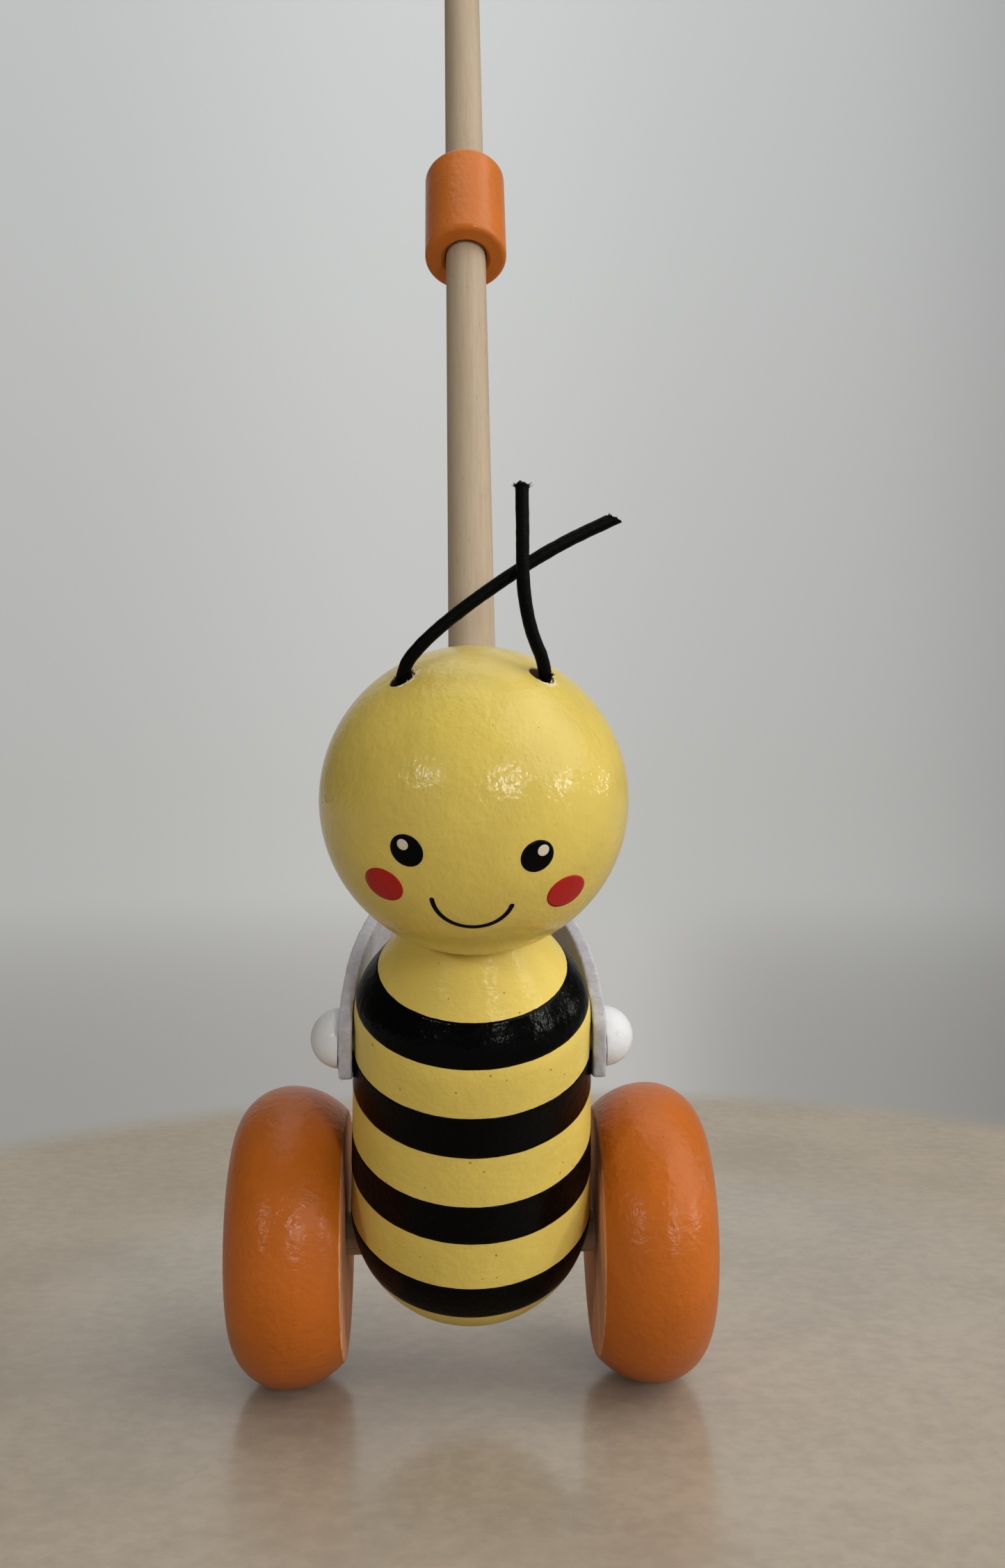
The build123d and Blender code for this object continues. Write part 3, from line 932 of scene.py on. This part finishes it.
def make_antenna(name, material):
    """A braided cord along its route, with frayed yarn at its cut end and at its bore."""
    mouth = antenna_mouths[name]
    root = mouth + RIGHT * ANTENNA_SHIFTS[name]
    route = [root - up_body * BORE_DEPTH, root + up_body * STRAIGHT_OUT]
    route += [mouth + Vector(step) * MM for step in ANTENNA_STEPS[name]]
    line, length = evenly(spline_points(route), RING_STEP)
    frames = frames_along(line)
    points = braided_points(name, line, length, frames)
    faces = tube_faces(0, len(line), RING_SIDES)
    end = cap_end(points, faces, frames[-1][0])
    antenna = mesh_object(f"braided_antenna_{name}", points, faces)
    dressed(antenna, material)
    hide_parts(f"antenna_{name}")
    end_fray = make_fray(f"antenna_fray_{name}", END_FRAYS[name], end, frames[-1], material)
    bore = root + up_body * ROOT_FRAY_RISE
    root_fray = make_fray(f"antenna_root_fray_{name}", ROOT_FRAYS[name], bore, frames[0], material)


def make_splinters(name, material):
    """Short flakes of torn wood and paint that curl up along the lower right of a bore's mouth."""
    chance = random.Random(f"splinters {name}")
    mouth = antenna_mouths[name]
    aside = front_body * CHIP_SIDE.dot(RIGHT) - RIGHT * CHIP_SIDE.dot(front_body)
    points = []
    faces = []
    for _ in range(FLAKES):
        out = turned(chance.uniform(-FLAKE_SPREAD, FLAKE_SPREAD), CHIP_SIDE, aside)
        rim = mouth + out * (BORE_RADIUS + chance.uniform(*FLAKE_OFF_BORE))
        outward = (rim - head_centre).normalized()
        rim = head_centre + outward * (head_radius - FLAKE_SUNK)
        side = outward.cross(out).normalized()
        lean = outward * chance.uniform(*FLAKE_LIFT) - out * chance.uniform(*FLAKE_OVER_BORE)
        lean.normalize()
        lean = (lean + side * chance.choice((-1, 1)) * chance.uniform(*FLAKE_ASIDE)).normalized()
        reach = chance.uniform(*FLAKE_LENGTH)
        line = bent_line(rim, lean * reach, outward * reach * FLAKE_CURL, 4)
        thickness = chance.uniform(*FLAKE_THICKNESS)
        add_fibre(points, faces, line, thickness, FLAKE_FLATNESS, sides=6)
    splinters = mesh_object(f"bore_splinters_{name}", points, faces, smooth=False)
    dressed(splinters, material)


# Paint layers: thin closed skins over the wood


def paint_layer(name, places, faces, loops, on_surface, lift=PAINT_LIFT):
    """A closed skin: its top stands proud of the wood and its underside lies inside the wood."""
    count = len(places)
    points = [on_surface(place, lift) for place in places]
    points += [on_surface(place, -PAINT_DEPTH) for place in places]
    sides = list(faces)
    sides += [tuple(count + i for i in reversed(face)) for face in faces]
    for loop in loops:
        for a, b in zip(loop, loop[1:] + loop[:1]):
            sides.append((a, b, count + b, count + a))
    return mesh_object(name, points, sides)


def on_head(place, lift):
    """A place of the print plane, laid on the head along the print's direction."""
    across, up = (value * MM for value in place)
    ahead = sqrt(head_radius**2 - across**2 - up**2)
    spot = RIGHT * across + up_body * up + front_body * ahead
    return head_centre + spot.normalized() * (head_radius + lift)


def make_spot(name, material, lift=PAINT_LIFT):
    """A round spot of the printed face."""
    (across, up), diameter = FACE_SPOTS[name]
    places = [(across, up)]
    for ring in range(1, SPOT_RINGS + 1):
        reach = diameter / 2 * ring / SPOT_RINGS
        for angle in angles_round(SPOT_COLUMNS):
            places.append((across + cos(angle) * reach, up + sin(angle) * reach))
    faces = [(0, 1 + i, 1 + (i + 1) % SPOT_COLUMNS) for i in range(SPOT_COLUMNS)]
    rim = len(places) - SPOT_COLUMNS
    for first in range(1, rim, SPOT_COLUMNS):
        faces += faces_between(first, first + SPOT_COLUMNS, SPOT_COLUMNS)
    loop = list(range(rim, len(places)))
    dressed(paint_layer(name, places, faces, [loop], on_head, lift), material)


def make_mouth(material):
    """A smile: an even stroke along an arc, with round ends."""
    start, end = (radians(angle) for angle in MOUTH_SPAN)
    half = MOUTH_WIDTH / 2
    cap = half / MOUTH_RADIUS
    turns = [pi / 2 * i / MOUTH_CAP_STEPS for i in range(MOUTH_CAP_STEPS + 1)]
    stations = [(start - cap * cos(turn), sin(turn)) for turn in turns[:-1]]
    steps = range(MOUTH_STEPS + 1)
    stations += [(start + (end - start) * i / MOUTH_STEPS, 1.0) for i in steps]
    stations += [(end + cap * sin(turn), cos(turn)) for turn in turns[1:]]
    places = []
    for angle, share in stations:
        reach = half * max(share, MOUTH_TIP_SHARE)
        for lane in range(MOUTH_LANES + 1):
            radius = MOUTH_RADIUS + reach * (2 * lane / MOUTH_LANES - 1)
            across = MOUTH_CENTRE[0] + radius * cos(angle)
            places.append((across, MOUTH_CENTRE[1] + radius * sin(angle)))
    width = MOUTH_LANES + 1
    last = (len(stations) - 1) * width
    faces = []
    for station in range(0, last, width):
        for a in range(station, station + MOUTH_LANES):
            faces.append((a, a + width, a + width + 1, a + 1))
    loop = [*range(0, last, width), *range(last, last + width)]
    loop += [*range(last - 1, 0, -width), *range(MOUTH_LANES - 1, 0, -1)]
    dressed(paint_layer("mouth", places, faces, [loop], on_head), material)


def body_radius(body, height):
    """The body's largest radius at a height along its axis, over a span of its front."""
    centre = axle_centre + up_body * height
    found = 0.0
    for i in range(PROFILE_LOOKS):
        out = turned(PROFILE_FROM + PROFILE_SPAN * i / PROFILE_LOOKS, RIGHT, front_body)
        hit = body.ray_cast(centre + out * head_radius * 2, -out)[0]
        if hit is not None:
            found = max(found, (hit - centre).length)
    return found


def between(table, value):
    """The value read from a table of pairs that fall in their first number."""
    for (high, at_high), (low, at_low) in zip(table, table[1:]):
        if value >= low:
            share = (value - low) / (high - low)
            return at_low + (at_high - at_low) * share
    return table[-1][1]


def wavy_edge(edge, angle):
    """The height of a band's edge, a little tilted and uneven round the body."""
    round_body = Vector((cos(angle), sin(angle), 0))
    seed = Vector((0, 0, edge * BAND_SEED_STEP))
    wobble = sum(share * noise.noise(round_body * waves + seed) for waves, share in BAND_WAVES)
    return edge * MM + BAND_TILT * sin(angle + edge) + BAND_WOBBLE * wobble


def make_bands(material):
    """Four black bands round the body, each with slightly uneven edges."""
    mesh = nodes["body"].data
    corners = [vertex.co for vertex in mesh.vertices]
    body = BVHTree.FromPolygons(corners, [tuple(face.vertices) for face in mesh.polygons])
    for index, (top, bottom) in enumerate(BAND_EDGES):
        places = []
        for row in range(BAND_ROWS + 1):
            share = row / BAND_ROWS
            for angle in angles_round(BAND_COLUMNS):
                high, low = (wavy_edge(edge, angle) for edge in (top, bottom))
                places.append((high * (1 - share) + low * share, angle))
        rows = range(-PROFILE_MARGIN, PROFILE_ROWS + PROFILE_MARGIN + 1)
        heights = [(top + (bottom - top) * row / PROFILE_ROWS) * MM for row in rows]
        table = [(height, body_radius(body, height)) for height in heights]

        def on_body(place, lift):
            height, angle = place
            out = turned(angle, RIGHT, front_body)
            return axle_centre + up_body * height + out * (between(table, height) + lift)

        faces = []
        low_edge = BAND_ROWS * BAND_COLUMNS
        for first in range(0, low_edge, BAND_COLUMNS):
            faces += faces_between(first, first + BAND_COLUMNS, BAND_COLUMNS)
        loops = [list(range(BAND_COLUMNS)), list(range(low_edge, len(places)))]
        band = paint_layer(f"black_band_{index + 1}", places, faces, loops, on_body)
        if bottom * MM < AXLE_BORE_RADIUS:
            cut_axle_bore(band)
        dressed(band, material)


def cut_axle_bore(made):
    """Opens the painted skin where the axle's bore passes through it."""
    points = []
    for x in (-AXLE_BORE_HALF_LENGTH, AXLE_BORE_HALF_LENGTH):
        for angle in angles_round(AXLE_BORE_SIDES):
            out = turned(angle, BACKWARDS, UP)
            points.append(axle_centre + RIGHT * x + out * AXLE_BORE_RADIUS)
    cutter = mesh_object("bore_cutter", points, rod_faces(0, 2, AXLE_BORE_SIDES))
    cut = made.modifiers.new("bore", "BOOLEAN")
    cut.operation = "DIFFERENCE"
    cut.solver = "EXACT"
    cut.object = cutter
    applied(made)
    bpy.data.objects.remove(cutter)


# Wings


def make_fuzz(name, mesh, material):
    """Single wool fibres that stand and curl off the felt."""
    chance = random.Random(f"fuzz {name}")

    def any_way():
        return Vector([chance.gauss(0, 1) for _ in range(3)]).normalized()

    points = []
    faces = []
    for face in chance.sample(range(len(mesh.polygons)), FUZZ_FIBRES):
        polygon = mesh.polygons[face]
        aside = any_way()
        lean = (polygon.normal * chance.uniform(*FUZZ_STAND) + aside).normalized()
        if lean.dot(polygon.normal) < 0:
            lean = lean.reflect(polygon.normal)
        curl = lean.cross(any_way())
        reach = chance.uniform(*FUZZ_LENGTH)
        line = bent_line(polygon.center, lean * reach, curl * FUZZ_CURL * reach, 3)
        add_fibre(points, faces, line, FUZZ_THICKNESS, sides=3)
    return dressed(mesh_object(f"felt_fuzz_{name}", points, faces), material)


def make_wing(name, material):
    """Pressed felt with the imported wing's outline: softened edges and a matted, lumpy surface."""
    packed = nodes[f"wing_{name}"].data.copy()
    wing = link(bpy.data.objects.new(f"felt_wing_{name}", packed))
    remesh = wing.modifiers.new("remesh", "REMESH")
    remesh.mode = "VOXEL"
    remesh.voxel_size = FELT_VOXEL
    soften = wing.modifiers.new("soften", "SMOOTH")
    soften.factor = 0.5
    soften.iterations = 2
    mesh = applied(wing).data
    normals = [vertex.normal.copy() for vertex in mesh.vertices]
    for vertex, normal in zip(mesh.vertices, normals):
        place = vertex.co
        lumps = noise.noise(place * FELT_LUMPS[0]) * FELT_LUMPS[1]
        mats = noise.noise(place * FELT_MATS[0] + FELT_MATS_SHIFT) * FELT_MATS[1]
        vertex.co = place + normal * (lumps + mats - FELT_SUNK)
    for face in mesh.polygons:
        face.use_smooth = True
    dressed(wing, material)
    fuzz = make_fuzz(name, mesh, material)
    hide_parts(f"wing_{name}")


# Stage


def bell(tree, value, kind):
    """A smooth hump of a value, highest at the bell's centre."""
    off = maths(tree, "DIVIDE", minus(tree, value, kind.centre), kind.width)
    fall = maths(tree, "EXPONENT", product(tree, off, off, -1.0))
    return product(tree, fall, kind.height)


def wall_light(tree, way, low=0.0):
    """How bright the backdrop is along a way, with its pool of light and its darker part."""
    apart = add(tree, "SeparateXYZ", {0: way}).outputs
    bearing = maths(tree, "ARCTAN2", apart["X"], apart["Y"])
    light = maths(tree, "ADD", bell(tree, bearing, WALL_POOL), 1.0)
    light = minus(tree, light, bell(tree, bearing, WALL_SHADE))
    return maths(tree, "MULTIPLY_ADD", bell(tree, bearing, WALL_FOOT_POOL), low, light)


def background_rays(tree):
    """1 for the rays that show the backdrop itself, and 0 for those that light the object."""
    path = add(tree, "LightPath").outputs
    seen = maths(tree, "MAXIMUM", path["Is Camera Ray"], path["Is Glossy Ray"])
    return maths(tree, "MAXIMUM", seen, path["Is Transmission Ray"])


def table_colour(tree, coords):
    """Pale mottled stone with pale and deep specks."""
    cloud = grain(tree, coords, TABLE_CLOUD)
    mottle = grain(tree, coords, TABLE_MOTTLE)
    tone = grains_added(tree, (cloud, TABLE_CLOUD), (mottle, TABLE_MOTTLE))
    colour = clouded(tree, tone, TABLE_TONE_SPAN, FLOOR, TABLE_TONE_SHARES)
    pale = specks(tree, coords, PALE_SPECKS)
    deep = specks(tree, shifted(tree, coords, DEEP_SPECK_SHIFT), DEEP_SPECKS)
    colour = mixed(tree, product(tree, pale, PALE_SPECKS.strength), colour, WALL_HIGH)
    return mixed(tree, product(tree, deep, DEEP_SPECKS.strength), colour, BEECH_DARK)


def table_material():
    """A table top that turns into the backdrop's glow beyond its edge."""
    material, tree, shader, coords = new_material("pale_stone", FLOOR)
    distance = length_of(tree, step_from(tree, coords, TABLE_CENTRE))
    inputs = {
        "Base Color": table_colour(tree, coords),
        "Roughness": ramp(tree, distance, TABLE_GLOSS_ENDS, TABLE_ROUGHNESS),
        "Specular IOR Level": 0.62,
    }
    connect(tree, shader, inputs)
    far = ramp(tree, distance, WALL_FOOT_ENDS)
    way = step_from(tree, coords, LIGHT_FANS_FROM)
    light = wall_light(tree, way, minus(tree, 1.0, far))
    begins = ramp(tree, along(tree, way, BACKWARDS), FLOOR_LIGHT_BEGINS)
    strength = maths(tree, "MULTIPLY_ADD", minus(tree, light, 1.0), begins, 1.0)
    inputs = {"Color": mixed(tree, far, WALL_FOOT, WALL_LEVEL), "Strength": strength}
    glow = add(tree, "Emission", inputs).outputs[0]
    shown = product(tree, ramp(tree, distance, TABLE_EDGE), background_rays(tree))
    mix = add(tree, "MixShader", {0: shown, 1: shader.outputs[0], 2: glow})
    connect(tree, tree.nodes["Material Output"], {"Surface": mix.outputs[0]})
    return material


def make_floor():
    ways = ((-1, -1), (1, -1), (1, 1), (-1, 1))
    corners = [(x * FLOOR_HALF, y * FLOOR_HALF, 0) for x, y in ways]
    stage_floor = mesh_object("stage_floor", corners, [(0, 1, 2, 3)], smooth=False)
    paint(stage_floor, table_material())


def make_world():
    """The backdrop above the floor, and the room that lights and is mirrored in the object."""
    world = bpy.data.worlds.new("world")
    world.use_nodes = True
    tree = world.node_tree
    tree.nodes.clear()
    way = add(tree, "TexCoord").outputs["Generated"]
    rise = maths(tree, "DIVIDE", along(tree, way, UP), WALL_HIGH_RISE)
    rise = maths(tree, "MINIMUM", maths(tree, "MAXIMUM", rise, 0.0), 1.0)
    wall = mixed(tree, rise, WALL_LEVEL, WALL_HIGH)
    wall = scaled(tree, wall, wall_light(tree, way))
    to_right = along(tree, way, RIGHT)
    aside = maths(tree, "ABSOLUTE", to_right)
    past_wall = maths(tree, "MULTIPLY_ADD", along(tree, way, BACKWARDS), -ROOM_SLOPE, aside)
    mirrored = mixed(tree, ramp(tree, past_wall, ROOM_BEGINS), wall, ROOM)
    seen = add(tree, "LightPath").outputs["Is Camera Ray"]
    shown = mixed(tree, seen, mirrored, wall)
    ambient = mixed(tree, ramp(tree, to_right, AMBIENT_SPAN), AMBIENT_LEFT, AMBIENT)
    colour = mixed(tree, background_rays(tree), ambient, shown)
    back = add(tree, "Background", {"Color": colour})
    add(tree, "OutputWorld", {"Surface": back.outputs[0]})
    bpy.context.scene.world = world


def make_lights():
    for name, lamp in LAMPS.items():
        data = bpy.data.lights.new(name, "AREA")
        data.shape = "RECTANGLE"
        data.size = lamp.width
        data.size_y = lamp.height
        data.energy = lamp.power
        data.color = LAMPLIGHT
        light = link(bpy.data.objects.new(name, data))
        way = Vector(lamp.way).normalized()
        light.location = head_centre + way * lamp.distance
        light.rotation_euler = way.to_track_quat("Z", "Y").to_euler()


# The whole scene


def make_face():
    names = "face_black", "face_red", "glint_white"
    black, red, white = [satin_paint(name).material for name in names]
    for side in SIDES:
        make_spot(f"eye_{side}", black)
        make_spot(f"cheek_{side}", red)
        make_spot(f"glint_{side}", white, GLINT_LIFT)
    make_mouth(black)


def paint_packed_pieces():
    """Gives the pieces that stay as they were packed their paint or wood."""
    orange = satin_paint("sleeve_orange").material
    wheel = wheel_paint()
    peg = satin_paint("peg_white").material
    stick = bare_wood("stick_beech", up_stick, STICK_WOOD, STICK_DARK)
    finishes = {
        "head": head_paint(),
        "body": satin_paint("body_yellow_painted_light").material,
        "wheel_left": wheel,
        "wheel_right": wheel,
        "wing_peg_left": peg,
        "wing_peg_right": peg,
        "stick_lower": stick,
        "stick_upper": stick,
        "axle": bare_wood("axle_beech", RIGHT),
        "neck_dowel": bare_wood("neck_beech", up_body),
        "stick_sleeve": orange,
        "grip_ball": orange,
    }
    for name, finish in finishes.items():
        paint(nodes[name], finish)


def main():
    bpy.context.scene.view_settings.view_transform = "Standard"
    make_camera()
    cord = cord_material()
    for name in SIDES:
        make_antenna(name, cord)
    chip_wood = bare_wood("torn_beech", up_body, CHIP_WOOD, BEECH)
    for name in SIDES:
        make_splinters(name, chip_wood)
    make_bands(satin_paint("black").material)
    make_face()
    felt = felt_material()
    for name in SIDES:
        make_wing(name, felt)
    paint_packed_pieces()
    make_floor()
    make_world()
    make_lights()


main()
